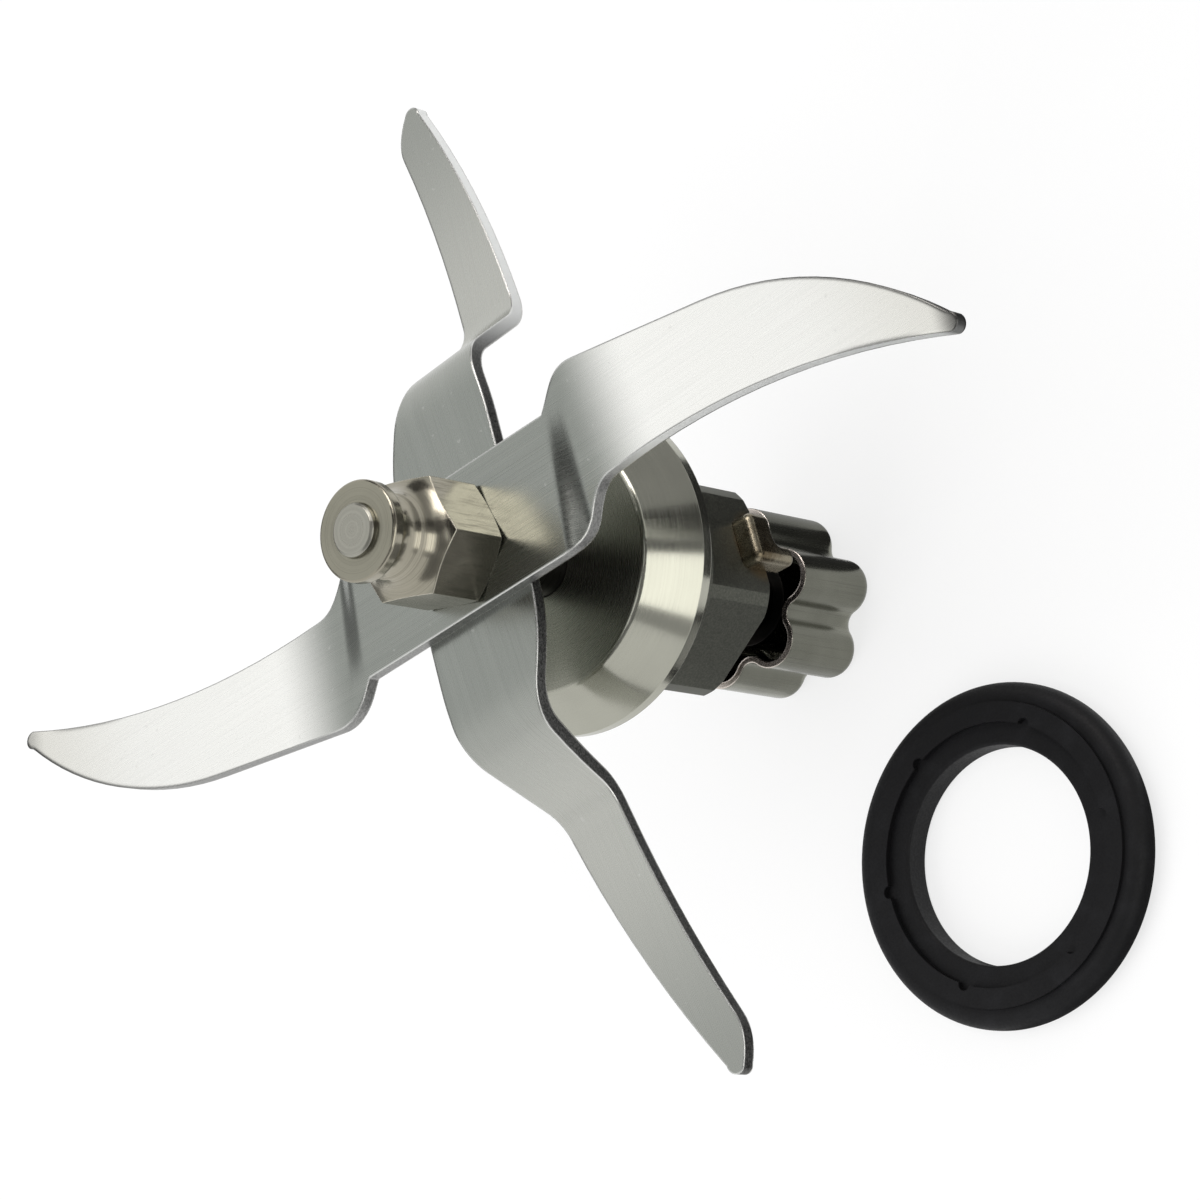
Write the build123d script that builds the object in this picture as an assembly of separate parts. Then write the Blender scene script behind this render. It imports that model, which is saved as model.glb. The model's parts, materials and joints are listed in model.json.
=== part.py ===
from build123d import *
import os
from math import cos, pi, radians, sin, sqrt, tan

# Blade assembly of a food blender: two crossed blades on a shaft that runs in a flanged bearing
# housing, a lobed coupling under it, and the loose gasket that seals the flange in the jug.
# Millimetres and degrees. The origin is on the shaft's axis in the rear face of the flange, where
# the gasket seats. +Z runs along the shaft to the blade nut, +X to a tip of the upper blade.

# Clearances
RUN = 0.05              # radial gap where one piece turns in another
FIT = 0.02              # radial gap of a seat that stays put

# Flange and collar of the housing
LIP_D = 35.0
LIP_T = 1.2
FLANGE_H = 6.45         # rear face to front face
FACE_D = 27.6           # front face, where the cone begins
FACE_EDGE_R = 0.7
COLLAR_WALL = 1.5       # thinnest wall, at a flat of the hexagon
FLAT_DEPTH = 1.3        # depth of a flat under the round barrel
BARREL_L = 6.7          # round length behind the flange, before the flats
COLLAR_DEG = 5.0        # direction of a flat's normal
FRONT_WALL = 1.4        # front face to the seal behind it
END_LAND = 1.25         # collar left behind the circlip
END_CHAMFER = 0.5

# Locking lugs, welded to two opposite flats
LUG_W = 5.6
LUG_L = 3.6
LUG_H = 2.5
LUG_SETBACK = 0.2       # from the block to the collar's end
LUG_EDGE_R = 0.9
LEG_W = 2.2
LEG_REACH = 2.5         # how far the leg passes the collar's end

# Shaft
SHAFT_D = 7.0
SPIGOT_D = 5.5          # from the blades' seat to the end that is riveted over the nut
KEY_AF = 4.5            # across the two flats that key the blades
RIVET_RISE = 0.7
RIVET_CHAMFER = 0.25
TAIL_D = 5.0            # shaft end that is riveted into the coupling
TAIL_HEAD_D = 6.6

# Ball bearings
BEARING_OD = 19.0
BEARING_W = 6.0
BALL_D = 3.0
BALLS = 7
LAND_GAP = 2.3          # radial gap between the two races
CAGE_T = 1.2
CAGE_W = 4.2
SHIELD_T = 0.4
SHIELD_SEAT = 0.5       # radial depth of the shield's seat in the outer race
SHIELD_INSET = 0.3
BEARING_GAP = 4.0       # between the two bearings
SPACER_T = 1.2

# Circlips
BORE_CLIP_T = 1.0
BORE_GROOVE = 0.5
SHAFT_CLIP_T = 0.8
SHAFT_GROOVE = 0.25
CLIP_W = 1.6            # radial width of a circlip
CLIP_GAP_DEG = 40.0

# Shaft seal
SEAL_OD = 17.0
SEAL_W = 3.6
SEAL_WALL = 1.0
SEAL_LIP_T = 0.8
GARTER_D = 0.8

# Blades
BLADE_T = 1.5
BLADE_CLEAR = 10.55     # front face to the lower blade
STRIP_W = 14.65         # middle strip of both blades

UPPER_TIP_R = 65.0
UPPER_STRIP_DEG = 7.4   # strip's direction from the line through the tips
UPPER_FOLD_X = 14.3     # first fold from the axis
UPPER_FOLD_L = 3.0
UPPER_FOLD_STEPS = 8    # sections that follow the fold's curve
UPPER_DROP = 0.3        # height lost across the fold
UPPER_RISE_DEG = 1.45   # slope of the arm along its length
UPPER_PITCH_DEG = 6.1   # twist of the arm about its length
UPPER_LEAD_Y = 13.4     # convex edge at the root
UPPER_LEAD_L = 16.5     # straight length of the convex edge
UPPER_LEAD_SLOPE = 0.04
UPPER_TRAIL_Y = 1.0     # concave edge at the root
UPPER_TRAIL_BOW = 1.65  # rise of the concave edge above its root
UPPER_TRAIL_BACK = 3.4  # from the middle of the concave edge in to its crown
UPPER_TRAIL_SET = 0.7   # concave edge's root past the fold
UPPER_LEAD_SET = 0.8    # convex edge's root before the end of the fold
UPPER_LOW_SET = 1.4     # end of the strip's low side before the fold
UPPER_HIGH_SET = 1.0    # end of the strip's high side past the fold
UPPER_TIP_W = 2.1

LOWER_DEG = 99.8        # direction of a tip of the lower blade
LOWER_TIP_R = 57.9
LOWER_STRIP_DEG = -5.0
LOWER_FOLD_X = 19.5
LOWER_RISER_L = 7.0     # the step's length along the blade
LOWER_DROP = 11.6       # the step's height
LOWER_SLOPE_DEG = 8.0   # the arm falls towards its tip
LOWER_BEND_R = 4.5      # inside radius of the bends
LOWER_OUT_Y = -7.7      # convex edge at the root
LOWER_IN_Y = -0.3       # concave edge at the root
LOWER_IN_SET = 1.5      # concave edge's root past the step
LOWER_OUT_BOW = 1.1     # rise of the convex edge over its chord
LOWER_IN_BOW = 0.55     # depth of the concave edge under its chord
LOWER_TOE_Y = 2.4       # widest point behind the slanted tip
LOWER_TOE_L = 5.5       # length of the slanted tip
LOWER_NOSE_W = 2.2      # width of the round nose
LOWER_NOSE_L = 1.2

# Blade nut
NUT_AF = 12.0
HEX_H = 7.2
HEX_CHAMFER = 0.45
NECK_H = 2.5
NECK_D = 8.8
WAIST_D = 7.8
WAIST_L = 3.1
HEAD_D = 10.4
HEAD_T = 1.6
HEAD_EDGE_R = 0.35
NUT_DEG = 49.2          # direction of a corner

# Coupling
CUP_GAP = 8.8           # collar's end to the cup's rim
CUP_L = 12.0
CUP_WALL = 0.7
CUP_EDGE_R = 1.5
LOBES = 6
LOBE_PITCH_R = 6.9
LOBE_R = 3.15
VALLEY_R = 1.4
LOBE_DEG = 1.0
BUSH_D = 10.0
BUSH_L = 9.0

# Gasket, lying beside the assembly
GASKET_OD = 37.0
GASKET_STRETCH = 1.2    # how much smaller its hole is than the barrel
GASKET_T = 4.0
GASKET_RIM_T = 3.6
GASKET_LEDGE_T = 3.3
GASKET_RIM_W = 2.2      # rounded outer rim
GASKET_BAND_W = 2.2     # raised flat band
GASKET_NOTCHES = 6
GASKET_NOTCH_R = 0.7
GASKET_REACH = 40.7     # its centre from the shaft's axis
GASKET_DEG = -59.2

# Heights that follow from the stack
face_z = FLANGE_H
seal_top = face_z - FRONT_WALL
seal_bottom = seal_top - SEAL_W
upper_bearing_z = seal_bottom - BEARING_W / 2
lower_bearing_z = upper_bearing_z - BEARING_W - BEARING_GAP
bearing_top = seal_bottom
bearing_bottom = lower_bearing_z - BEARING_W / 2
collar_end = bearing_bottom - BORE_CLIP_T - END_LAND
lower_blade_z = face_z + BLADE_CLEAR
upper_blade_z = lower_blade_z + BLADE_T
nut_z = upper_blade_z + BLADE_T
head_z = nut_z + HEX_H + NECK_H + WAIST_L
nut_top = head_z + HEAD_T
cup_rim = collar_end - CUP_GAP
cup_end = cup_rim - CUP_L
cup_floor = cup_end + CUP_WALL

# Radii that follow from the fits
shaft_r = SHAFT_D / 2
spigot_r = SPIGOT_D / 2
bearing_r = BEARING_OD / 2
collar_af = BEARING_OD + 2 * COLLAR_WALL
barrel_d = collar_af + 2 * FLAT_DEPTH
pitch_r = (shaft_r + bearing_r) / 2
inner_land_r = pitch_r - LAND_GAP / 2
outer_land_r = pitch_r + LAND_GAP / 2


def ring(outer_r, inner_r, low, high):
    """A plain ring between two heights."""
    height = high - low
    base = (Align.CENTER, Align.CENTER, Align.MIN)
    return Pos(0, 0, low) * (Cylinder(outer_r, height, align=base) - Cylinder(inner_r, height, align=base))


def turned(*profile):
    """A closed outline of (radius, height) points, turned about the shaft's axis."""
    outline = make_face(Polyline(*[(r, 0, z) for r, z in profile], close=True))
    return revolve(outline, Axis.Z)


def around(count, start_deg=0.0):
    """Turns about the axis for a pattern of equal steps."""
    return [Rot(0, 0, start_deg + 360.0 * i / count) for i in range(count)]


def along(deg):
    """Unit vectors along and across a direction in plan."""
    return Vector(cos(radians(deg)), sin(radians(deg))), Vector(-sin(radians(deg)), cos(radians(deg)))


# Housing

def bearing_housing():
    """Flange with its cone, round barrel and hexagonal collar, bored for the bearings and the seal."""
    lip_r = LIP_D / 2
    body = turned((0, 0), (lip_r, 0), (lip_r, LIP_T), (FACE_D / 2, face_z), (0, face_z))
    rim = body.edges().filter_by(GeomType.CIRCLE).sort_by(Axis.Z)[-1]
    body = fillet(rim, FACE_EDGE_R)
    collar = ring(barrel_d / 2, 0.5 * shaft_r, collar_end, 0)
    collar = chamfer(collar.edges().group_by(Axis.Z)[0].sort_by(SortBy.RADIUS)[-1], END_CHAMFER)
    flats = extrude(RegularPolygon(collar_af / 2, 6, major_radius=False, rotation=30 + COLLAR_DEG), barrel_d)
    flats = Pos(0, 0, -BARREL_L - barrel_d) * flats
    collar = collar & (ring(barrel_d, 0.5 * shaft_r, -BARREL_L, 0) + flats)
    bores = turned(
        (0, collar_end), (bearing_r + FIT, collar_end), (bearing_r + FIT, bearing_bottom - BORE_CLIP_T),
        (bearing_r + BORE_GROOVE, bearing_bottom - BORE_CLIP_T), (bearing_r + BORE_GROOVE, bearing_bottom),
        (bearing_r + FIT, bearing_bottom), (bearing_r + FIT, bearing_top),
        (SEAL_OD / 2 + FIT, bearing_top), (SEAL_OD / 2 + FIT, seal_top),
        (shaft_r + RUN, seal_top), (shaft_r + RUN, face_z), (0, face_z),
    )
    return body + collar - bores


def locking_lugs():
    """Two welded blocks, each with a leg that hooks past the collar's end."""
    high = collar_end + LUG_SETBACK + LUG_L
    low = collar_end + LUG_SETBACK
    foot = collar_end - LEG_REACH
    side = -LUG_W / 2
    corners = [(side, high), (-side, high), (-side, low), (side + LEG_W, low), (side + LEG_W, foot), (side, foot)]
    plan = make_face(Polyline(*corners, close=True))
    plan = fillet(plan.vertices(), LUG_EDGE_R)
    seat = Plane(origin=(collar_af / 2, 0, 0), x_dir=(0, 1, 0), z_dir=(1, 0, 0))
    block = extrude(seat * plan, LUG_H)
    block = fillet(block.faces().sort_by(Axis.X)[-1].edges(), LUG_EDGE_R)
    return [turn * block for turn in around(2, COLLAR_DEG)]


def shaft_lip_seal():
    """Rubber ring with a lip that runs on the shaft."""
    outer = SEAL_OD / 2
    lip = shaft_r + RUN
    edge = lip + SEAL_LIP_T
    return turned(
        (outer, seal_bottom), (outer, seal_top), (lip + SEAL_LIP_T / 2, seal_top),
        (lip, seal_top - SEAL_W * 0.4), (lip + SEAL_LIP_T / 3, seal_top - SEAL_W * 0.65),
        (edge, seal_top - SEAL_W * 0.65), (edge, seal_top - SEAL_WALL),
        (outer - SEAL_WALL, seal_top - SEAL_WALL), (outer - SEAL_WALL, seal_bottom),
    )


def seal_garter_spring():
    """Endless coil spring around the lip, drawn as its outer shape."""
    ring_r = shaft_r + RUN + SEAL_LIP_T + GARTER_D / 2 + FIT
    return Pos(0, 0, seal_top - SEAL_W * 0.46) * Torus(ring_r, GARTER_D / 2)


def circlip(bend_r, width, low, thick):
    """Open spring ring; a positive width lies outside its groove radius, a negative one inside."""
    plate = ring(max(bend_r, bend_r + width), min(bend_r, bend_r + width), low, low + thick)
    reach = 2 * (bend_r + abs(width))
    half = reach * tan(radians(CLIP_GAP_DEG / 2))
    wedge = extrude(make_face(Polyline((0, 0), (reach, -half), (reach, half), close=True)), thick)
    return plate - Pos(0, 0, low) * wedge


def bore_circlip():
    """Circlip that holds the lower bearing in the collar."""
    return circlip(bearing_r + BORE_GROOVE - FIT, -CLIP_W, bearing_bottom - BORE_CLIP_T, BORE_CLIP_T)


def bearing_spacer():
    """Sleeve between the two outer races."""
    low = lower_bearing_z + BEARING_W / 2
    return ring(bearing_r, bearing_r - SPACER_T, low, low + BEARING_GAP)


# Bearings

def race_groove():
    """Space that the balls run through."""
    return Torus(pitch_r, BALL_D / 2 + RUN)


def outer_race():
    """Outer ring with the ball groove and a seat for a shield on each side."""
    half = BEARING_W / 2
    seat = half - SHIELD_T - SHIELD_INSET
    race = ring(bearing_r, outer_land_r, -half, half)
    race -= ring(outer_land_r + SHIELD_SEAT, outer_land_r / 2, seat, half)
    race -= ring(outer_land_r + SHIELD_SEAT, outer_land_r / 2, -half, -seat)
    return race - race_groove()


def inner_race():
    """Inner ring with the ball groove."""
    half = BEARING_W / 2
    return ring(inner_land_r, shaft_r + FIT, -half, half) - race_groove()


def ball_places():
    """Where the balls of one bearing lie."""
    return [turn * Pos(pitch_r, 0, 0) for turn in around(BALLS)]


def bearing_balls():
    """One bearing's balls."""
    return [place * Sphere(BALL_D / 2) for place in ball_places()]


def bearing_cage():
    """Ring with a pocket drilled through for each ball."""
    cage = ring(pitch_r + CAGE_T / 2, pitch_r - CAGE_T / 2, -CAGE_W / 2, CAGE_W / 2)
    for place in ball_places():
        cage -= place * Rot(0, 90, 0) * Cylinder(BALL_D / 2 + RUN, 3 * CAGE_T)
    return cage


def bearing_shields():
    """Two thin covers in the outer race, clear of the inner one."""
    half = BEARING_W / 2 - SHIELD_INSET
    outer = outer_land_r + SHIELD_SEAT - FIT
    inner = inner_land_r + 2 * RUN
    return [ring(outer, inner, half - SHIELD_T, half), ring(outer, inner, -half, SHIELD_T - half)]


# Rotor

def drive_shaft():
    """Stepped shaft: riveted tail, bearing seats between two circlips, and a keyed spigot, riveted at its end."""
    tail = TAIL_D / 2
    groove = shaft_r - SHAFT_GROOVE
    top = nut_top + RIVET_RISE
    shaft = turned(
        (0, cup_end), (TAIL_HEAD_D / 2, cup_end), (tail, cup_end + CUP_WALL * 0.75), (tail, cup_floor),
        (shaft_r, cup_floor), (shaft_r, lower_blade_z), (spigot_r, lower_blade_z),
        (spigot_r, top - RIVET_CHAMFER), (spigot_r - RIVET_CHAMFER, top), (0, top),
    )
    for low in shaft_clip_heights():
        shaft -= ring(SHAFT_D, groove, low, low + SHAFT_CLIP_T)
    flat = Box(SHAFT_D, SHAFT_D, head_z - lower_blade_z, align=(Align.CENTER, Align.MIN, Align.MIN))
    for turn in around(2, UPPER_STRIP_DEG):
        shaft -= turn * Pos(0, KEY_AF / 2, lower_blade_z) * flat
    return shaft


def key_hole(low, high):
    """Hole with two flats that fits the shaft's spigot."""
    hole = Circle(spigot_r + FIT) & Rectangle(SHAFT_D * 2, KEY_AF + 2 * FIT)
    return Pos(0, 0, low) * Rot(0, 0, UPPER_STRIP_DEG) * extrude(hole, high - low)


def inner_spacer():
    """Sleeve between the two inner races."""
    low = lower_bearing_z + BEARING_W / 2
    return ring(shaft_r + FIT + SPACER_T, shaft_r + FIT, low, low + BEARING_GAP)


def shaft_clip_heights():
    """Undersides of the two circlips on the shaft, under the lower bearing and over the upper one."""
    return [bearing_bottom - SHAFT_CLIP_T, bearing_top]


def shaft_circlips():
    """Circlips that hold the shaft in the inner races."""
    return [circlip(shaft_r - SHAFT_GROOVE + FIT, CLIP_W, low, SHAFT_CLIP_T) for low in shaft_clip_heights()]


def whole_outline(half_edges):
    """Plan of a blade from the edges of one arm, repeated half a turn round."""
    return make_face(half_edges + [Rot(0, 0, 180) * edge for edge in half_edges])


def upper_plan():
    """Plan of the upper blade: a middle strip and two sickle-shaped arms."""
    run, across = along(UPPER_STRIP_DEG)
    half = STRIP_W / 2
    root = UPPER_FOLD_X + 2 * UPPER_FOLD_L
    strip_low = run * (UPPER_FOLD_X - UPPER_LOW_SET) - across * half
    strip_high = run * (UPPER_FOLD_X + UPPER_HIGH_SET) + across * half
    trail = Vector(root + UPPER_TRAIL_SET, UPPER_TRAIL_Y)
    lead = Vector(root - UPPER_LEAD_SET, UPPER_LEAD_Y)
    lead_end = Vector(root + UPPER_LEAD_L, UPPER_LEAD_Y - UPPER_LEAD_L * UPPER_LEAD_SLOPE)
    tip = Vector(UPPER_TIP_R, 0)
    tip_low = tip - Vector(UPPER_TIP_W / 2, UPPER_TIP_W * 0.45)
    tip_high = tip + Vector(-UPPER_TIP_W * 0.42, UPPER_TIP_W / 2)
    bow = Vector((trail.X + tip.X) / 2 - UPPER_TRAIL_BACK, UPPER_TRAIL_Y + UPPER_TRAIL_BOW)
    low_turn = Vector(UPPER_FOLD_X + UPPER_FOLD_L, (strip_low.Y + UPPER_TRAIL_Y) / 2)
    high_turn = Vector(UPPER_FOLD_X + 1.3 * UPPER_HIGH_SET, (strip_high.Y + UPPER_LEAD_Y) / 2)
    slope = lead_end - lead
    return whole_outline([
        Line(across * -half, strip_low),
        Spline(strip_low, low_turn, trail, tangents=[run, (1, 0.12)]),
        ThreePointArc(trail, bow, tip_low),
        ThreePointArc(tip_low, tip, tip_high),
        TangentArc(lead_end, tip_high, tangent=slope),
        Line(lead, lead_end),
        Spline(strip_high, high_turn, lead, tangents=[run + across, slope]),
        Line(strip_high, across * half),
    ])


def ease(share):
    """Smooth change from 0 to 1."""
    share = min(max(share, 0.0), 1.0)
    return share * share * (3 - 2 * share)


def upper_section(x, reach):
    """Section of the upper blade's sheet across its length, before it is cut to its outline."""
    side = 1 if x >= 0 else -1
    out = abs(x)
    bent = ease((out - UPPER_FOLD_X) / UPPER_FOLD_L)
    beyond = max(out - UPPER_FOLD_X - UPPER_FOLD_L, 0.0)
    middle = (UPPER_LEAD_Y + UPPER_TRAIL_Y) / 2
    level = upper_blade_z - bent * UPPER_DROP + beyond * tan(radians(UPPER_RISE_DEG))
    pitch = bent * tan(radians(UPPER_PITCH_DEG))
    low = level + pitch * (-reach * side - middle)
    high = level + pitch * (reach * side - middle)
    corners = [(x, -reach, low), (x, reach, high), (x, reach, high + BLADE_T), (x, -reach, low + BLADE_T)]
    return make_face(Polyline(*corners, close=True))


def upper_blade():
    """Upper blade: level strip, shallow fold, pitched arms."""
    reach = UPPER_LEAD_Y + STRIP_W
    end = UPPER_TIP_R + BLADE_T
    fold = [UPPER_FOLD_L * i / UPPER_FOLD_STEPS for i in range(UPPER_FOLD_STEPS + 1)]
    steps = [UPPER_FOLD_X + x for x in fold] + [end]
    stations = [-x for x in reversed(steps)] + steps
    sheet = loft([upper_section(x, reach) for x in stations], ruled=True)
    block = Pos(0, 0, upper_blade_z - HEX_H) * extrude(upper_plan(), 2 * HEX_H + BLADE_T)
    return (sheet & block) - key_hole(upper_blade_z, nut_z)


def lower_plan():
    """Plan of the lower blade in its own direction: a strip that narrows into two slanted arms."""
    run, across = along(LOWER_STRIP_DEG)
    half = STRIP_W / 2
    root = LOWER_FOLD_X + LOWER_RISER_L
    out_start = run * (LOWER_FOLD_X - LOWER_RISER_L) - across * half
    in_start = run * (LOWER_FOLD_X / 3) + across * half
    out_root = Vector(root, LOWER_OUT_Y)
    in_root = Vector(root + LOWER_IN_SET, LOWER_IN_Y)
    tip = Vector(LOWER_TIP_R, 0)
    tip_out = tip - Vector(LOWER_NOSE_L, LOWER_NOSE_W / 2)
    tip_in = tip + Vector(-LOWER_NOSE_L / 2, LOWER_NOSE_W * 0.4)
    toe = Vector(LOWER_TIP_R - LOWER_TOE_L, LOWER_TOE_Y)
    out_mid = (out_root + tip_out) * 0.5 - Vector(0, LOWER_OUT_BOW)
    in_mid = (in_root + toe) * 0.5 - Vector(0, LOWER_IN_BOW)
    out_edge = ThreePointArc(out_root, out_mid, tip_out)
    in_edge = ThreePointArc(toe, in_mid, in_root)
    return whole_outline([
        Line(across * -half, out_start),
        Spline(out_start, out_root, tangents=[run, out_edge % 0]),
        out_edge,
        ThreePointArc(tip_out, tip, tip_in),
        Spline(tip_in, toe, tangents=[(-1, 0.8), in_edge % 0]),
        in_edge,
        Spline(in_root, in_start, tangents=[(-1, 0.05), run * -1]),
        Line(in_start, across * half),
    ])


def lower_sheet(width):
    """Bent sheet of the lower blade, seen from the side: a level strip, two steep steps, two falling arms."""
    root = LOWER_FOLD_X + LOWER_RISER_L
    end = LOWER_TIP_R + 2 * BLADE_T
    drop = LOWER_DROP + (end - root) * tan(radians(LOWER_SLOPE_DEG))
    arm = [(LOWER_FOLD_X, 0), (root, -LOWER_DROP), (end, -drop)]
    points = [(-x, z) for x, z in reversed(arm)] + arm
    outer = LOWER_BEND_R + BLADE_T
    top = FilletPolyline(*points, radius=[LOWER_BEND_R, outer, outer, LOWER_BEND_R])
    side = make_face(offset(top, amount=BLADE_T, side=Side.RIGHT, closed=True))
    place = Plane(origin=(0, 0, upper_blade_z), x_dir=(1, 0, 0), z_dir=(0, -1, 0))
    return extrude(place * side, width / 2, both=True)


def lower_blade():
    """Lower blade: the strip under the upper blade, stepped down on both sides of the flange."""
    tall = LOWER_DROP + LOWER_TIP_R * tan(radians(LOWER_SLOPE_DEG)) + 2 * BLADE_T
    block = Pos(0, 0, upper_blade_z + BLADE_T - tall) * extrude(lower_plan(), tall)
    blade = Rot(0, 0, LOWER_DEG) * (lower_sheet(3 * STRIP_W) & block)
    return blade - key_hole(lower_blade_z, upper_blade_z)


def blade_nut():
    """Hexagon that runs into a flared neck, a waist and a round head."""
    corner = NUT_AF / sqrt(3)
    neck_z = nut_z + HEX_H + NECK_H
    waist_z = neck_z + WAIST_L / 2
    neck = NECK_D / 2
    head = HEAD_D / 2
    flare_z = nut_z + HEX_H
    profile = [
        Line((0, 0, nut_z), (NUT_AF / 2, 0, nut_z)),
        Line((NUT_AF / 2, 0, nut_z), (corner, 0, nut_z + HEX_CHAMFER)),
        Line((corner, 0, nut_z + HEX_CHAMFER), (corner, 0, flare_z)),
        TangentArc((neck, 0, neck_z), (corner, 0, flare_z), tangent=(0.25, 0, -1)),
        ThreePointArc((neck, 0, neck_z), (WAIST_D / 2, 0, waist_z), (neck, 0, head_z)),
        Line((neck, 0, head_z), (head, 0, head_z)),
        Line((head, 0, head_z), (head, 0, nut_top)),
        Line((head, 0, nut_top), (0, 0, nut_top)),
        Line((0, 0, nut_top), (0, 0, nut_z)),
    ]
    body = revolve(make_face(profile), Axis.Z)
    hexagon = RegularPolygon(NUT_AF / 2, 6, major_radius=False, rotation=NUT_DEG)
    body = body & (Pos(0, 0, nut_z) * extrude(hexagon, nut_top - nut_z))
    rims = body.edges().filter_by(lambda edge: edge.geom_type == GeomType.CIRCLE and edge.radius > head - RUN)
    body = fillet(rims.filter_by(lambda edge: edge.center().Z > head_z - RUN), HEAD_EDGE_R)
    return body - Pos(0, 0, nut_z) * extrude(Circle(spigot_r + FIT), nut_top - nut_z)


def lobed_plan(inset):
    """Six round lobes joined by hollows, set in by a wall thickness."""
    lobe_r = LOBE_R - inset
    step = 2 * pi / LOBES
    lean = LOBE_PITCH_R * cos(step / 2)
    reach = lean + sqrt((LOBE_R + VALLEY_R) ** 2 - LOBE_PITCH_R ** 2 + lean ** 2)
    touch_share = lobe_r / (LOBE_R + VALLEY_R)

    def polar(r, angle):
        return Vector(r * cos(angle), r * sin(angle))

    edges = []
    for i in range(LOBES):
        angle = i * step
        lobe = polar(LOBE_PITCH_R, angle)
        before = lobe + (polar(reach, angle - step / 2) - lobe) * touch_share
        after = lobe + (polar(reach, angle + step / 2) - lobe) * touch_share
        next_lobe = polar(LOBE_PITCH_R, angle + step)
        following = next_lobe + (polar(reach, angle + step / 2) - next_lobe) * touch_share
        hollow = polar(reach - VALLEY_R - inset, angle + step / 2)
        edges.append(ThreePointArc(before, polar(LOBE_PITCH_R + lobe_r, angle), after))
        edges.append(ThreePointArc(after, hollow, following))
    return make_face(edges)


def coupling_cup():
    """Deep-drawn cup with six lobes, open towards the collar, closed at its foot."""
    shell = extrude(lobed_plan(0), CUP_L)
    shell = fillet(shell.faces().sort_by(Axis.Z)[0].edges(), CUP_EDGE_R)
    inside = extrude(lobed_plan(CUP_WALL), CUP_L - CUP_WALL)
    inside = Pos(0, 0, CUP_WALL) * fillet(inside.faces().sort_by(Axis.Z)[0].edges(), CUP_EDGE_R - CUP_WALL)
    tail = TAIL_D / 2 + FIT
    hole = turned(
        (0, 0), (TAIL_HEAD_D / 2 + FIT, 0), (tail, CUP_WALL * 0.75), (tail, CUP_WALL), (0, CUP_WALL),
    )
    return Pos(0, 0, cup_end) * Rot(0, 0, LOBE_DEG) * (shell - inside - hole)


def coupling_bush():
    """Bush on the shaft that stands on the cup's floor."""
    return ring(BUSH_D / 2, shaft_r + FIT, cup_floor, cup_floor + BUSH_L)


# Gasket

def gasket_ring():
    """Rubber ring with a rounded rim, a raised band with notches, and a lower ledge round its hole."""
    outer = GASKET_OD / 2
    inner = (barrel_d - GASKET_STRETCH) / 2
    band_out = outer - GASKET_RIM_W
    band_in = band_out - GASKET_BAND_W
    body = turned(
        (inner, 0), (outer, 0), (outer, GASKET_RIM_T), (band_out, GASKET_RIM_T), (band_out, GASKET_T),
        (band_in, GASKET_T), (band_in, GASKET_LEDGE_T), (inner, GASKET_LEDGE_T),
    )
    rims = body.edges().filter_by(lambda edge: edge.geom_type == GeomType.CIRCLE and edge.radius > outer - RUN)
    body = fillet(rims, GASKET_RIM_T * 0.45)
    mouths = body.edges().filter_by(lambda edge: edge.geom_type == GeomType.CIRCLE and edge.radius < inner + RUN)
    body = fillet(mouths, GASKET_NOTCH_R / 2)
    notch = Pos(band_in, 0, GASKET_LEDGE_T) * extrude(Circle(GASKET_NOTCH_R), GASKET_T)
    for turn in around(GASKET_NOTCHES):
        body -= turn * notch
    run, _ = along(GASKET_DEG)
    return Pos(run.X * GASKET_REACH, run.Y * GASKET_REACH, cup_end) * body


def bearing_nodes(name, z):
    """The pieces of one ball bearing, at its place on the shaft."""
    place = Pos(0, 0, z)
    return {
        f"{name}_bearing_outer_race": place * outer_race(),
        f"{name}_bearing_inner_race": place * inner_race(),
        f"{name}_bearing_balls": [place * ball for ball in bearing_balls()],
        f"{name}_bearing_cage": place * bearing_cage(),
        f"{name}_bearing_shields": [place * shield for shield in bearing_shields()],
    }


def assembly():
    """Every node by name: one solid, or a list of like solids."""
    nodes = {
        "bearing_housing": bearing_housing(),
        "locking_lugs": locking_lugs(),
        "shaft_lip_seal": shaft_lip_seal(),
        "seal_garter_spring": seal_garter_spring(),
        "bearing_spacer": bearing_spacer(),
        "bore_circlip": bore_circlip(),
        "gasket_ring": gasket_ring(),
        "drive_shaft": drive_shaft(),
        "inner_spacer": inner_spacer(),
        "shaft_circlips": shaft_circlips(),
        "lower_blade": lower_blade(),
        "upper_blade": upper_blade(),
        "blade_nut": blade_nut(),
        "coupling_cup": coupling_cup(),
        "coupling_bush": coupling_bush(),
    }
    nodes.update(bearing_nodes("upper", upper_bearing_z))
    nodes.update(bearing_nodes("lower", lower_bearing_z))
    return nodes


os.makedirs("parts", exist_ok=True)
for node, shape in assembly().items():
    solids = shape if isinstance(shape, list) else [shape]
    piece = Compound(label=node, children=solids) if len(solids) > 1 else solids[0]
    piece.label = node
    export_step(piece, os.path.join("parts", f"{node}.step"))
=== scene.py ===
import json
from math import cos, radians, sin

import bpy
from mathutils import Matrix, Vector


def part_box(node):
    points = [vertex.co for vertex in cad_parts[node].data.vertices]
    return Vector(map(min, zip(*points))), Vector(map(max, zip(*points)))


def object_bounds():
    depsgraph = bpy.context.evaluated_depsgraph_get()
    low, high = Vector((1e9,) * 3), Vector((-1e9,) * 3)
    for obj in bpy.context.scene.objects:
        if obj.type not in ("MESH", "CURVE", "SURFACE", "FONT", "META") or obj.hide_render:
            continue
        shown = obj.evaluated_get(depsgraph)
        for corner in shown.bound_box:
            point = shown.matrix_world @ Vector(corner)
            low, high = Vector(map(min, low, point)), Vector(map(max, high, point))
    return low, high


# Blade assembly of a food blender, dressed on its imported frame.
# Metres and degrees; names that end in _MM are in millimetres.

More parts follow.
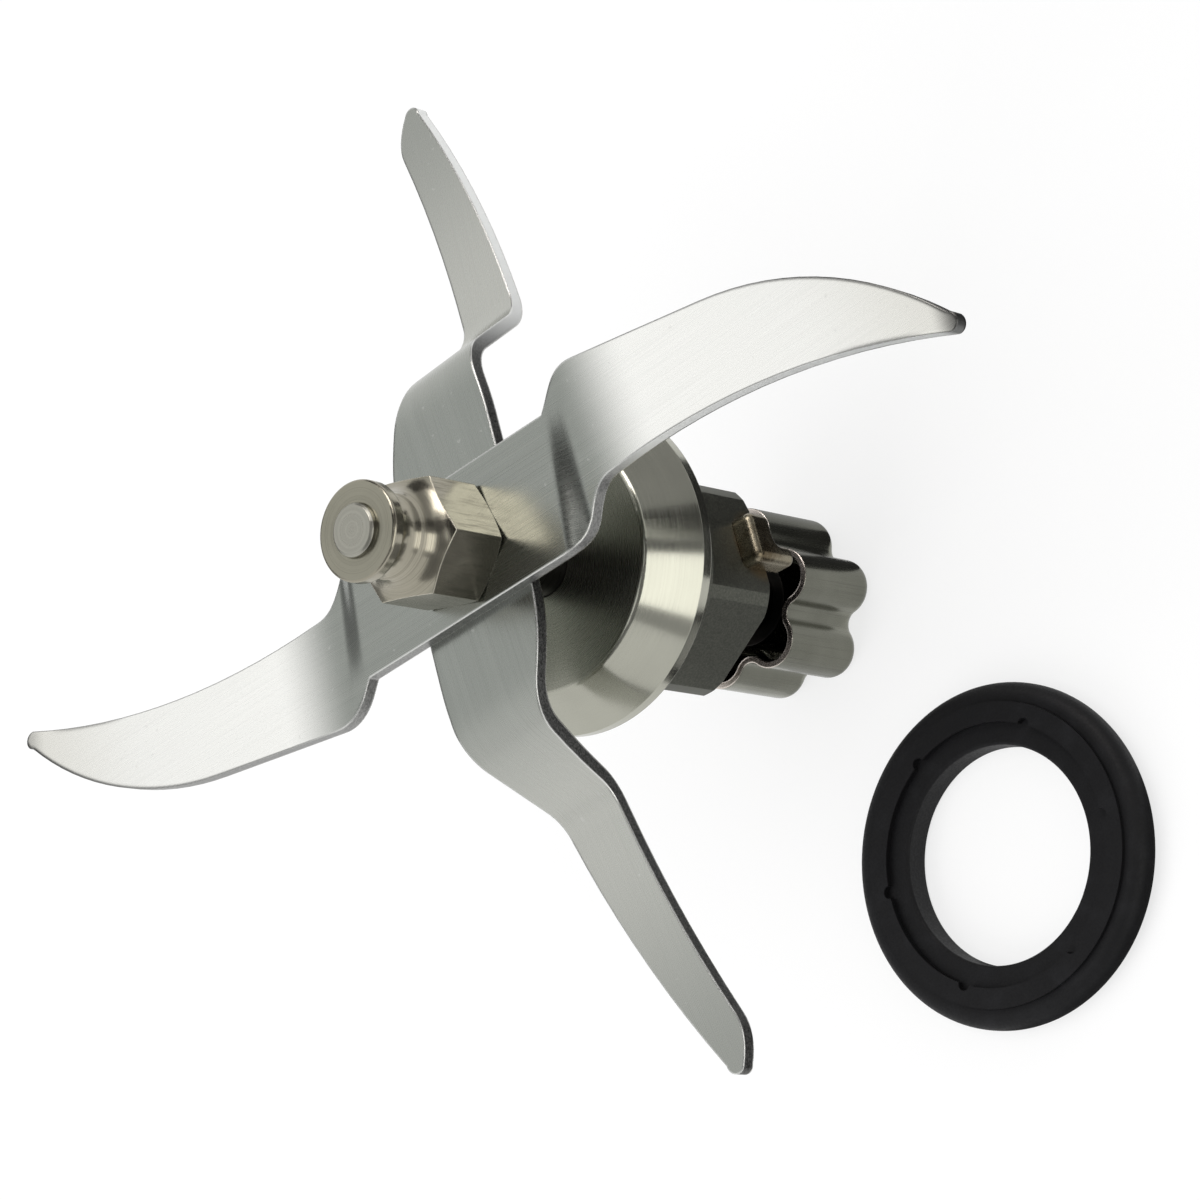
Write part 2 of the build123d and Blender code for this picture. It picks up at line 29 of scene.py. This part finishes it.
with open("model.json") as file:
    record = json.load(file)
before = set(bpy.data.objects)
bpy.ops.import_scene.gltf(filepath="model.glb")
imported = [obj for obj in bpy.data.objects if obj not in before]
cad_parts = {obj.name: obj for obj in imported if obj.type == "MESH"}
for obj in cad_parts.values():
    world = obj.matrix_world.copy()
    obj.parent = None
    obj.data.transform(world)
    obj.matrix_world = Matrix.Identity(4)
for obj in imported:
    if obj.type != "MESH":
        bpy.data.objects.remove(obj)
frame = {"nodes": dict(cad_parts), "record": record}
cad_box = [list(corner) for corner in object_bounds()]

MM = 0.001

# Camera, read from the photograph: where it looks, where it stands, and its roll to the right
AIM = Vector((0.00485, -0.00538, 0.00411))
CAMERA_AZIMUTH = -26.4
CAMERA_ELEVATION = 48.87
CAMERA_DISTANCE = 0.46705
CAMERA_ROLL = 80.17
LENS_MM = 135.6
SENSOR_MM = 36.0

# Light
FILL = 0.62                # world's light on the object; the background itself shows at 1
FLOOR_SIZE = 6.0
FLOOR_COLOR = (0.97, 0.97, 0.97, 1)
FLOOR_ROUGHNESS = 0.9
FLOOR_GLOW = 0.74          # share of the floor that shows plain white
FLOOR_DROP = 0.0001        # floor below the part's lowest point
FLOOR_CARD_DROP = 0.00005  # cards on the floor, just above it
CARD_DISTANCE = 0.7
CARD_STEPS = 12

# Directions and levels taken from the part
UPPER_STRIP_DEG = 7.4
LOWER_DEG = 99.8
COLLAR_DEG = 5.0
SHEET_MM = 1.5
FLANGE_REAR_MM = 0.0
LUG_W_MM = 5.6
LUG_MIDDLE_MM = (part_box("locking_lugs")[0].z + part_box("locking_lugs")[1].z) * 500
BLADE_SEAT_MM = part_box("lower_blade")[1].z * 1000 - SHEET_MM
CUP_RIM_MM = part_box("coupling_cup")[1].z * 1000
TIP_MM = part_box("upper_blade")[1].x * 1000

# Rounded edges, painted edge lines and painted shade at the blade tips, and heat stains on the part
EDGE_MM = 0.4             # rounding of the blades' edges
OUTLINE_EDGE_MM = 1.1      # radius of the painted dark edge line at the upper tips, on the convex side
ARM_ROOT_MM = 25.0        # where the upper arms start, and how far their middle lies to the convex side there
ARM_ROOT_MIDDLE_MM = 7.0
SHADED_TIP_MM = 3.0         # length of the tips darkened with painted shade
STAIN_HALF_W_MM = LUG_W_MM * 0.72
STAIN_HALF_H_MM = LUG_W_MM * 0.62

# Middle of a noise pattern's range, where nearly all of it lies
NOISE_LOW = 0.3
NOISE_HIGH = 0.7

BEVEL_SAMPLES = 8


class Shader:
    """A node material, with short calls for the nodes that the finishes below are made of."""

    def __init__(self, name):
        self.material = bpy.data.materials.new(name)
        self.material.use_nodes = True
        self.tree = self.material.node_tree
        self.surface = self.tree.nodes["Principled BSDF"]
        coordinates = self.add("ShaderNodeTexCoord").outputs
        self.facing = coordinates["Normal"]
        self.mm = self.vectors("MULTIPLY", coordinates["Object"], (1000.0, 1000.0, 1000.0))["Vector"]
        self.x, self.y, self.z = self.split(self.mm)
        self.normal = self.add("ShaderNodeNewGeometry").outputs["Normal"]
        self.up = self.levelness(self.normal)

    def feed(self, socket, value):
        """Sets a socket, or links it to another."""
        if isinstance(value, bpy.types.NodeSocket):
            self.tree.links.new(value, socket)
        else:
            socket.default_value = value

    def add(self, kind, settings=None, **inputs):
        """Adds a node; inputs are given by name with spaces as underscores."""
        node = self.tree.nodes.new(kind)
        for name, value in (settings or {}).items():
            setattr(node, name, value)
        for name, value in inputs.items():
            self.feed(node.inputs[name.replace("_", " ")], value)
        return node

    def split(self, vector):
        """The three parts of a vector."""
        return self.add("ShaderNodeSeparateXYZ", Vector=vector).outputs

    def vectors(self, operation, a, b):
        """Arithmetic on two vectors."""
        node = self.add("ShaderNodeVectorMath", {"operation": operation})
        self.feed(node.inputs[0], a)
        self.feed(node.inputs[1], b)
        return node.outputs

    def math(self, operation, a, b=0.0):
        """Arithmetic on two values."""
        node = self.add("ShaderNodeMath", {"operation": operation})
        self.feed(node.inputs[0], a)
        self.feed(node.inputs[1], b)
        return node.outputs[0]

    def product(self, a, b):
        """One value times another."""
        return self.math("MULTIPLY", a, b)

    def squares(self, a, b):
        """Sum of two squares."""
        return self.math("ADD", self.product(a, a), self.product(b, b))

    def ramp(self, value, start, end, low=0.0, high=1.0):
        """Smooth change from low to high while value goes from start to end."""
        node = self.add("ShaderNodeMapRange", {"interpolation_type": "SMOOTHSTEP"}, Value=value,
                        From_Min=start, From_Max=end, To_Min=low, To_Max=high)
        return node.outputs["Result"]

    def vary(self, pattern, low=0.0, high=1.0):
        """Number that follows a noise pattern from low to high."""
        return self.ramp(pattern, NOISE_LOW, NOISE_HIGH, low, high)

    def mix(self, share, a, b):
        """Colour between a and b."""
        node = self.add("ShaderNodeMix", {"data_type": "RGBA"})
        self.feed(node.inputs[0], share)
        self.feed(node.inputs[6], a)
        self.feed(node.inputs[7], b)
        return node.outputs[2]

    def blend(self, share, a, b):
        """Number between a and b."""
        node = self.add("ShaderNodeMix", {"data_type": "FLOAT"})
        self.feed(node.inputs[0], share)
        self.feed(node.inputs[2], a)
        self.feed(node.inputs[3], b)
        return node.outputs[0]

    def levelness(self, normal):
        """1 on a level face, 0 on an upright one."""
        return self.math("ABSOLUTE", self.split(normal)["Z"])

    def noise(self, place, scale=1.0, detail=3.0, roughness=0.55):
        """Soft random pattern, with about scale cells to a millimetre."""
        node = self.add("ShaderNodeTexNoise", Vector=place, Scale=scale, Detail=detail, Roughness=roughness)
        return node.outputs["Fac"]

    def scaled(self, place, factors):
        """Coordinates, each times its own factor."""
        return self.vectors("MULTIPLY", place, factors)["Vector"]

    def turned(self, degrees, vector):
        """A vector with X along a direction in plan."""
        node = self.add("ShaderNodeVectorRotate", {"rotation_type": "Z_AXIS"}, Vector=vector,
                        Angle=radians(-degrees))
        return node.outputs[0]

    def radius(self):
        """Distance from the shaft's axis in millimetres."""
        return self.math("SQRT", self.squares(self.x, self.y))

    def lathe(self, across):
        """Coordinates that change only across the grooves a lathe leaves."""
        place = self.add("ShaderNodeCombineXYZ", X=self.product(self.radius(), across))
        self.feed(place.inputs["Y"], self.product(self.z, across))
        return place.outputs[0]

    def bump(self, height, depth_mm, under=None):
        """Normal bent by a height pattern of that depth."""
        node = self.add("ShaderNodeBump", Height=height, Strength=1.0, Distance=depth_mm * MM)
        if under is not None:
            self.feed(node.inputs["Normal"], under)
        return node.outputs["Normal"]

    def soft_edges(self, radius):
        """Normal that rounds off sharp edges in the shading, by a radius in metres."""
        return self.add("ShaderNodeBevel", {"samples": BEVEL_SAMPLES}, Radius=radius).outputs[0]

    def outline_radius(self):
        """Radius that sets the width of the painted edge lines on the upper blade; it grows along the convex
        side of each arm to its tip.
        """
        out = self.math("ABSOLUTE", self.x)
        side = self.product(self.math("SIGN", self.x), self.y)
        middle = self.ramp(out, ARM_ROOT_MM, TIP_MM, ARM_ROOT_MIDDLE_MM, 0.0)
        convex = self.ramp(self.math("SUBTRACT", side, middle), -0.3, 0.3)
        wide = self.ramp(out, ARM_ROOT_MM, TIP_MM, EDGE_MM * MM, OUTLINE_EDGE_MM * MM)
        return self.blend(convex, EDGE_MM * MM, wide)

    def painted_edge(self, soft, start=0.985, end=0.90):
        """1 along sharp edges, where the softened normal leaves the true one."""
        return self.ramp(self.vectors("DOT_PRODUCT", soft, self.normal)["Value"], start, end)

    def turned_tangent(self):
        """Direction of the grooves on a turned face."""
        return self.add("ShaderNodeTangent", {"direction_type": "RADIAL", "axis": "Z"}).outputs[0]

    def finish(self, **inputs):
        """Sets the surface's own sockets and returns the material."""
        for name, value in inputs.items():
            self.feed(self.surface.inputs[name.replace("_", " ")], value)
        return self.material


def blade_steel(name, degrees, wide_outline, corner, edge_dark, edge_light, arm_from, fades, arm_root, arm_tip):
    """Satin sheet with faint lengthwise brushing, brighter arms and sheared edges, with painted edge lines: a
    painted highlight along the strips' edges, and along the arms' edges the colour corner.

    The arms begin over the distances arm_from, and their tone fades darker from root to tip over fades, as
    painted shade. The cut faces on the arms' outer side are made light as a painted highlight, and the tips
    are darkened with painted shade.
    """
    s = Shader(name)
    soft = s.soft_edges(EDGE_MM * MM)
    strip = s.turned(degrees, s.mm)
    along = s.split(strip)["X"]
    out = s.math("ABSOLUTE", along)
    brushed = s.noise(s.scaled(strip, (0.05, 7.0, 0.05)), detail=2.0)
    streaks = s.noise(s.scaled(strip, (0.02, 0.9, 0.02)), detail=2.0)
    specks = s.ramp(s.noise(s.mm, 1.1, detail=1.0), 0.73, 0.80)
    on_arm = s.ramp(out, *arm_from)
    face = s.mix(streaks, (0.265, 0.28, 0.258, 1), (0.315, 0.33, 0.305, 1))
    # The arms' tone fades from arm_root to arm_tip over fades: painted shade toward the tips
    face = s.mix(on_arm, face, s.mix(s.ramp(out, *fades), arm_root, arm_tip))
    face = s.mix(s.ramp(brushed, 0.45, 0.75, 0.0, 0.025), face, (0.15, 0.15, 0.145, 1))
    face = s.mix(s.product(specks, 0.25), face, (0.62, 0.62, 0.60, 1))
    cut = s.ramp(s.levelness(soft), 0.42, 0.15)
    torn = s.noise(s.scaled(strip, (5.0, 2.0, 5.0)), detail=5.0, roughness=0.7)
    sheared = s.mix(s.ramp(torn, 0.36, 0.66), edge_dark, edge_light)
    # Cut faces on the outer side of each arm are made light: a painted highlight
    sideways = s.split(s.turned(degrees, s.facing))["Y"]
    outer = s.ramp(s.product(along, sideways), -18.0, -28.0)
    sheared = s.mix(outer, sheared, (0.80, 0.81, 0.80, 1))
    # Painted edge lines: a painted highlight along the strips' edges, and along the arms' edges the colour
    # corner, which is a painted highlight on the lower blade and a dark painted shade line on the upper one
    painted_edge = s.mix(on_arm, (0.80, 0.80, 0.78, 1), corner)
    edge = s.painted_edge(s.soft_edges(s.outline_radius()), 0.998, 0.86) if wide_outline else s.painted_edge(soft)
    color = s.mix(s.product(edge, 0.8), s.mix(cut, face, sheared), painted_edge)
    # Tips darkened, more on the right arm than the left: painted shade
    shaded_tip = s.ramp(s.radius(), TIP_MM - SHADED_TIP_MM, TIP_MM)
    darker_right = s.ramp(s.x, -1.0, 1.0, 0.4, 0.9)
    color = s.mix(s.product(shaded_tip, darker_right), color, (0.08, 0.08, 0.077, 1))
    rough = s.blend(cut, s.vary(brushed, 0.25, 0.29), s.vary(torn, 0.34, 0.55))
    height = s.blend(cut, brushed, s.product(torn, 75.0))
    return s.finish(Base_Color=color, Metallic=1.0, Roughness=rough, Normal=s.bump(height, 0.0002, soft))


def nut_nickel():
    """Warm nickel: turned rings on the head and neck, drawn lines along the hexagon's flats, level faces
    darkened as painted shade and a painted highlight along the edges.
    """
    s = Shader("nut_nickel")
    soft = s.soft_edges(0.2 * MM)
    rings = s.noise(s.lathe(9.0))
    tarnish = s.noise(s.mm, 0.22)
    drawn = s.noise(s.scaled(s.mm, (3.6, 3.6, 0.2)), detail=4.0, roughness=0.65)
    hexagon = s.product(s.ramp(s.up, 0.12, 0.05), s.ramp(s.radius(), 5.3, 5.6))
    marks = s.blend(hexagon, rings, drawn)
    color = s.mix(tarnish, (0.29, 0.272, 0.215, 1), (0.39, 0.368, 0.30, 1))
    color = s.mix(s.ramp(marks, 0.48, 0.70, 0.0, s.blend(hexagon, 0.36, 0.6)), color, (0.13, 0.115, 0.09, 1))
    # Level faces made darker: painted shade
    color = s.mix(s.ramp(s.up, 0.9, 0.97, 0.0, 0.5), color, (0.21, 0.212, 0.17, 1))
    # Painted highlight along the sharp edges
    color = s.mix(s.product(s.painted_edge(soft), 0.6), color, (0.74, 0.70, 0.60, 1))
    return s.finish(Base_Color=color, Metallic=1.0, Roughness=s.vary(marks, 0.17, 0.27),
                    Normal=s.bump(marks, 0.0025, soft),
                    Anisotropic=0.6, Anisotropic_Rotation=0.25, Tangent=s.turned_tangent())


def housing_steel():
    """Turned bright flange; dark, gritty collar behind it, tinted brown where the lugs were welded."""
    s = Shader("housing_steel")
    soft = s.soft_edges(0.15 * MM)
    rings = s.noise(s.lathe(9.0))
    cloudy = s.noise(s.mm, 0.12, detail=2.0)
    turned = s.mix(cloudy, (0.35, 0.35, 0.30, 1), (0.45, 0.45, 0.385, 1))
    grit = s.noise(s.mm, 4.5, detail=5.0, roughness=0.7)
    cast = s.mix(s.ramp(grit, 0.35, 0.7), (0.085, 0.088, 0.075, 1), (0.15, 0.153, 0.13, 1))
    across = s.math("DIVIDE", s.split(s.turned(COLLAR_DEG, s.mm))["Y"], STAIN_HALF_W_MM)
    down = s.math("DIVIDE", s.math("SUBTRACT", s.z, LUG_MIDDLE_MM), STAIN_HALF_H_MM)
    burnt = s.product(s.ramp(s.squares(across, down), 1.3, 0.5), s.ramp(grit, 0.3, 0.6, 0.45, 0.8))
    cast = s.mix(burnt, cast, (0.20, 0.145, 0.08, 1))
    front = s.ramp(s.z, FLANGE_REAR_MM - 0.05, FLANGE_REAR_MM + 0.05)
    color = s.mix(front, cast, turned)
    shine = s.math("ADD", s.vary(rings, 0.15, 0.22), s.ramp(s.up, 0.9, 0.97, 0.0, 0.09))
    rough = s.blend(front, s.vary(grit, 0.38, 0.55), shine)
    height = s.blend(front, s.product(grit, 6.0), rings)
    return s.finish(Base_Color=color, Metallic=1.0, Roughness=rough, Normal=s.bump(height, 0.0025, soft),
                    Anisotropic=0.6, Anisotropic_Rotation=0.25, Tangent=s.turned_tangent())


def lug_steel():
    """Rough cast block with a golden heat tint that turns brown in patches."""
    s = Shader("lug_steel")
    patches = s.noise(s.mm, 0.30)
    grit = s.noise(s.mm, 3.0, detail=5.0, roughness=0.7)
    color = s.mix(s.ramp(patches, 0.40, 0.68), (0.27, 0.242, 0.18, 1), (0.12, 0.092, 0.055, 1))
    color = s.mix(s.ramp(grit, 0.58, 0.75, 0.0, 0.35), color, (0.60, 0.55, 0.44, 1))
    return s.finish(Base_Color=color, Metallic=1.0, Roughness=s.vary(grit, 0.22, 0.34),
                    Normal=s.bump(grit, 0.010, s.soft_edges(0.3 * MM)))


def shaft_steel():
    """Blackened ground shaft, bright where it is riveted over above the blades."""
    s = Shader("shaft_steel")
    rings = s.noise(s.lathe(5.0), detail=2.0)
    stains = s.noise(s.mm, 0.4)
    dark = s.mix(stains, (0.015, 0.015, 0.015, 1), (0.04, 0.038, 0.035, 1))
    bright = s.mix(s.vary(rings), (0.31, 0.305, 0.265, 1), (0.40, 0.395, 0.345, 1))
    color = s.mix(s.ramp(s.z, BLADE_SEAT_MM, BLADE_SEAT_MM + 1.0), dark, bright)
    return s.finish(Base_Color=color, Metallic=1.0, Roughness=s.vary(rings, 0.26, 0.4),
                    Normal=s.bump(rings, 0.004, s.soft_edges(0.15 * MM)))


def coupling_steel():
    """Polished drawn cup with faint lengthwise marks, and a light rosy face on the rim that is a painted
    highlight.
    """
    s = Shader("coupling_steel")
    soft = s.soft_edges(0.3 * MM)
    drawn = s.noise(s.scaled(s.mm, (3.0, 3.0, 0.05)))
    cloudy = s.noise(s.mm, 0.25, detail=2.0)
    wall = s.mix(cloudy, (0.18, 0.182, 0.15, 1), (0.26, 0.262, 0.22, 1))
    wall = s.mix(s.ramp(drawn, 0.5, 0.75, 0.0, 0.3), wall, (0.11, 0.11, 0.095, 1))
    # Light rosy rim face: a painted highlight
    rim = s.product(s.ramp(s.z, CUP_RIM_MM - 0.7, CUP_RIM_MM - 0.3), s.ramp(s.up, 0.5, 0.8))
    color = s.mix(rim, wall, (0.66, 0.60, 0.55, 1))
    return s.finish(Base_Color=color, Metallic=1.0, Roughness=s.vary(drawn, 0.20, 0.30),
                    Normal=s.bump(drawn, 0.002, soft))


def rubber(name, tone, dusty):
    """Matte black rubber with a fine moulded grain and a trace of dust."""
    s = Shader(name)
    grain = s.noise(s.mm, 4.0, detail=4.0, roughness=0.65)
    dust = s.ramp(s.noise(s.mm, 0.35, detail=4.0), 0.45, 0.8, 0.0, 0.6)
    return s.finish(Base_Color=s.mix(dust, tone, dusty), Roughness=s.vary(grain, 0.50, 0.66),
                    Specular_IOR_Level=0.22, Normal=s.bump(grain, 0.015))


def bearing_steel():
    """Ground and polished rings and balls."""
    s = Shader("bearing_steel")
    rings = s.noise(s.lathe(8.0), detail=2.0)
    color = s.mix(rings, (0.56, 0.57, 0.58, 1), (0.70, 0.70, 0.71, 1))
    return s.finish(Base_Color=color, Metallic=1.0, Roughness=s.vary(rings, 0.12, 0.22),
                    Normal=s.bump(rings, 0.002))


def spring_steel():
    """Oiled dark strip of the circlips, shields and garter spring."""
    s = Shader("spring_steel")
    stains = s.noise(s.mm, 0.8, detail=4.0)
    color = s.mix(stains, (0.07, 0.068, 0.066, 1), (0.17, 0.165, 0.16, 1))
    return s.finish(Base_Color=color, Metallic=1.0, Roughness=s.vary(stains, 0.24, 0.42),
                    Normal=s.bump(stains, 0.01, s.soft_edges(0.1 * MM)))


def cage_nylon():
    """Natural nylon, slightly waxy."""
    s = Shader("cage_nylon")
    grain = s.noise(s.mm, 2.0, detail=4.0)
    color = s.mix(grain, (0.62, 0.56, 0.43, 1), (0.74, 0.69, 0.57, 1))
    return s.finish(Base_Color=color, Roughness=s.vary(grain, 0.38, 0.5), Subsurface_Weight=0.1,
                    Normal=s.bump(grain, 0.01))


def dress_nodes():
    """Gives every node of the frame the finish of its material slot, and each blade its own."""
    finishes = {
        "nut_nickel": nut_nickel(),
        "housing_steel": housing_steel(),
        "lug_steel": lug_steel(),
        "shaft_steel": shaft_steel(),
        "coupling_steel": coupling_steel(),
        "bearing_steel": bearing_steel(),
        "spring_steel": spring_steel(),
        "cage_nylon": cage_nylon(),
        "seal_rubber": rubber("seal_rubber", (0.008, 0.008, 0.008, 1), (0.02, 0.02, 0.02, 1)),
        "gasket_rubber": rubber("gasket_rubber", (0.005, 0.005, 0.0058, 1), (0.011, 0.0112, 0.013, 1)),
    }
    own = {
        "upper_blade": blade_steel(
            # corner: a dark painted shade line along the arms' edges
            "upper_blade_steel", UPPER_STRIP_DEG, wide_outline=True, corner=(0.10, 0.10, 0.098, 1),
            edge_dark=(0.20, 0.20, 0.196, 1), edge_light=(0.40, 0.40, 0.39, 1),
            arm_from=(18.0, 28.0), fades=(46.0, 66.0),
            # arm_root to arm_tip: painted shade toward the tips
            arm_root=(0.97, 0.97, 0.935, 1), arm_tip=(0.87, 0.86, 0.80, 1)),
        "lower_blade": blade_steel(
            # corner: a painted highlight along the arms' edges
            "lower_blade_steel", LOWER_DEG, wide_outline=False, corner=(0.80, 0.80, 0.78, 1),
            edge_dark=(0.03, 0.03, 0.029, 1), edge_light=(0.15, 0.15, 0.145, 1),
            arm_from=(14.0, 26.0), fades=(30.0, 58.0),
            # arm_root to arm_tip: painted shade toward the tips
            arm_root=(0.48, 0.485, 0.45, 1), arm_tip=(0.32, 0.33, 0.305, 1)),
    }
    slots = {part["node"]: part["material_slot"] for part in frame["record"]["subparts"]}
    for name, node in frame["nodes"].items():
        finish = own.get(name) or finishes[slots[name]]
        node.data.materials.clear()
        node.data.materials.append(finish)


def toward(azimuth, elevation):
    """Unit vector from the object to a direction."""
    flat = cos(radians(elevation))
    return Vector((flat * cos(radians(azimuth)), flat * sin(radians(azimuth)), sin(radians(elevation))))


def placed(back, location, roll=0.0):
    """Matrix that looks from location against the direction back, turned by a roll to the right."""
    level = (Vector((0, 0, 1)) - back * back.z).normalized()
    side = level.cross(back)
    up = level * cos(radians(roll)) + side * sin(radians(roll))
    right = up.cross(back)
    return Matrix.Translation(location) @ Matrix((right, up, back)).transposed().to_4x4()


def add_camera():
    """Camera at the photograph's viewing angle."""
    data = bpy.data.cameras.new("camera")
    data.lens = LENS_MM
    data.sensor_width = SENSOR_MM
    camera = bpy.data.objects.new("camera", data)
    bpy.context.scene.collection.objects.link(camera)
    back = toward(CAMERA_AZIMUTH, CAMERA_ELEVATION)
    camera.matrix_world = placed(back, AIM + back * CAMERA_DISTANCE, CAMERA_ROLL)
    bpy.context.scene.camera = camera


def add_lamp(name, azimuth, elevation, distance, size, power):
    """Soft square lamp that faces the object and isn't mirrored by it."""
    data = bpy.data.lights.new(name, "AREA")
    data.shape = "SQUARE"
    data.size = size
    data.energy = power
    lamp = bpy.data.objects.new(name, data)
    bpy.context.scene.collection.objects.link(lamp)
    lamp.visible_glossy = False
    back = toward(azimuth, elevation)
    lamp.matrix_world = placed(back, AIM + back * distance)


def seen_directly(nodes, links):
    """1 for rays from the camera, or mirrored or let through by the object; 0 for its lighting."""
    path = nodes.new("ShaderNodeLightPath")
    seen = path.outputs["Is Camera Ray"]
    for kind in ("Is Glossy Ray", "Is Transmission Ray"):
        either = nodes.new("ShaderNodeMath")
        either.operation = "MAXIMUM"
        links.new(seen, either.inputs[0])
        links.new(path.outputs[kind], either.inputs[1])
        seen = either.outputs[0]
    return seen


def add_world():
    """Even light on the object, and a white background to the camera and to the metal."""
    world = bpy.data.worlds.new("studio")
    bpy.context.scene.world = world
    world.use_nodes = True
    nodes, links = world.node_tree.nodes, world.node_tree.links
    background = nodes["Background"]
    background.inputs["Color"].default_value = (1, 1, 1, 1)
    level = nodes.new("ShaderNodeMapRange")
    level.inputs["To Min"].default_value = FILL
    level.inputs["To Max"].default_value = 1.0
    links.new(seen_directly(nodes, links), level.inputs["Value"])
    links.new(level.outputs["Result"], background.inputs["Strength"])


def add_floor():
    """Pale floor at the level of the coupling's end and the gasket."""
    bpy.ops.mesh.primitive_plane_add(size=FLOOR_SIZE, location=(0, 0, cad_box[0][2] - FLOOR_DROP))
    floor = bpy.context.object
    floor.name = "floor"
    material = bpy.data.materials.new("floor")
    material.use_nodes = True
    nodes, links = material.node_tree.nodes, material.node_tree.links
    surface = nodes["Principled BSDF"]
    surface.inputs["Base Color"].default_value = FLOOR_COLOR
    surface.inputs["Roughness"].default_value = FLOOR_ROUGHNESS
    glow = nodes.new("ShaderNodeEmission")
    blend = nodes.new("ShaderNodeMixShader")
    share = nodes.new("ShaderNodeMath")
    share.operation = "MULTIPLY"
    share.inputs[1].default_value = FLOOR_GLOW
    links.new(seen_directly(nodes, links), share.inputs[0])
    links.new(share.outputs[0], blend.inputs[0])
    links.new(surface.outputs[0], blend.inputs[1])
    links.new(glow.outputs[0], blend.inputs[2])
    links.new(blend.outputs[0], nodes["Material Output"].inputs["Surface"])
    floor.data.materials.append(material)


def card_material(name, level, tint):
    """Plain glow of a card."""
    material = bpy.data.materials.new(name)
    material.use_nodes = True
    nodes, links = material.node_tree.nodes, material.node_tree.links
    glow = nodes.new("ShaderNodeEmission")
    glow.inputs["Color"].default_value = (*tint, 1)
    glow.inputs["Strength"].default_value = level
    links.new(glow.outputs[0], nodes["Material Output"].inputs["Surface"])
    return material


def add_swept_card(name, azimuths, edges, level, tint):
    """Card swept through azimuths that only the metal sees, as a studio uses to shape reflections.

    edges gives the card's two edge points at one azimuth.
    """
    start, end = azimuths
    points = []
    for i in range(CARD_STEPS + 1):
        points += edges(start + (end - start) * i / CARD_STEPS)
    faces = [(2 * i, 2 * i + 2, 2 * i + 3, 2 * i + 1) for i in range(CARD_STEPS)]
    mesh = bpy.data.meshes.new(name)
    mesh.from_pydata(points, [], faces)
    mesh.materials.append(card_material(name, level, tint))
    card = bpy.data.objects.new(name, mesh)
    bpy.context.scene.collection.objects.link(card)
    card.visible_camera = False
    card.visible_diffuse = False
    card.visible_shadow = False


def add_card(name, azimuths, elevations, level, tint=(1, 1, 1)):
    """Upright card that covers a range of directions."""
    def edges(azimuth):
        return [AIM + toward(azimuth, elevation) * CARD_DISTANCE for elevation in elevations]

    add_swept_card(name, azimuths, edges, level, tint)


def add_floor_card(name, azimuths, radii, level):
    """Card that lies on the floor, over a sector about the shaft's axis, with outer and inner radii."""
    height = Vector((0, 0, cad_box[0][2] - FLOOR_CARD_DROP))

    def edges(azimuth):
        return [toward(azimuth, 0) * radius + height for radius in radii]

    add_swept_card(name, azimuths, edges, level, (1, 1, 1))


dress_nodes()
add_camera()
add_world()
add_floor()

add_lamp("lamp_top", azimuth=150, elevation=80, distance=0.9, size=0.8, power=4.0)
add_lamp("lamp_left", azimuth=-130, elevation=35, distance=0.8, size=0.5, power=2.0)

# Cards: the azimuths and elevations that each covers, its brightness and its tint
add_card("softbox_right", (-42, -4.5), (5, 36), 2.2, (1.0, 0.99, 0.96))
add_card("softbox_high", (46, 86), (32, 58), 6.0, (1.0, 0.95, 0.93))
add_card("card_right_edge", (-4.3, 8), (-12, 30), 0.18)
add_card("card_right_dark", (8, 25), (-12, 30), 0.07)
add_card("card_right", (25, 87.8), (-16, 24), 0.36)
add_card("card_below", (-55, -42.5), (5, 27), 0.45)
add_card("card_near", (-108, -43), (27.2, 70), 0.22)
add_card("card_camera", (-42.8, -4.5), (36.4, 82), 0.18)
add_card("card_flare", (-4.3, 32), (31, 59.5), 0.12)
add_card("card_top", (20, 156), (60, 90), 0.03)
add_card("card_fold_low", (148, 185), (-12, 34), 0.30)
add_card("card_tip", (88, 110), (-16, 38), 0.06)

# Cards on the floor: azimuths, radii and brightness
add_floor_card("floor_card_far", (-18, 56), (0.130, 0.040), 0.04)
add_floor_card("floor_card_near", (14, 50), (0.040, 0.009), 0.05)
add_floor_card("floor_card_side", (-75, -38), (0.100, 0.046), 0.20)
add_floor_card("floor_card_cup_high", (50, 130), (0.026, 0.009), 0.45)
add_floor_card("floor_card_cup_low", (-110, 14), (0.026, 0.009), 0.65)

bpy.context.scene.view_settings.view_transform = "Standard"
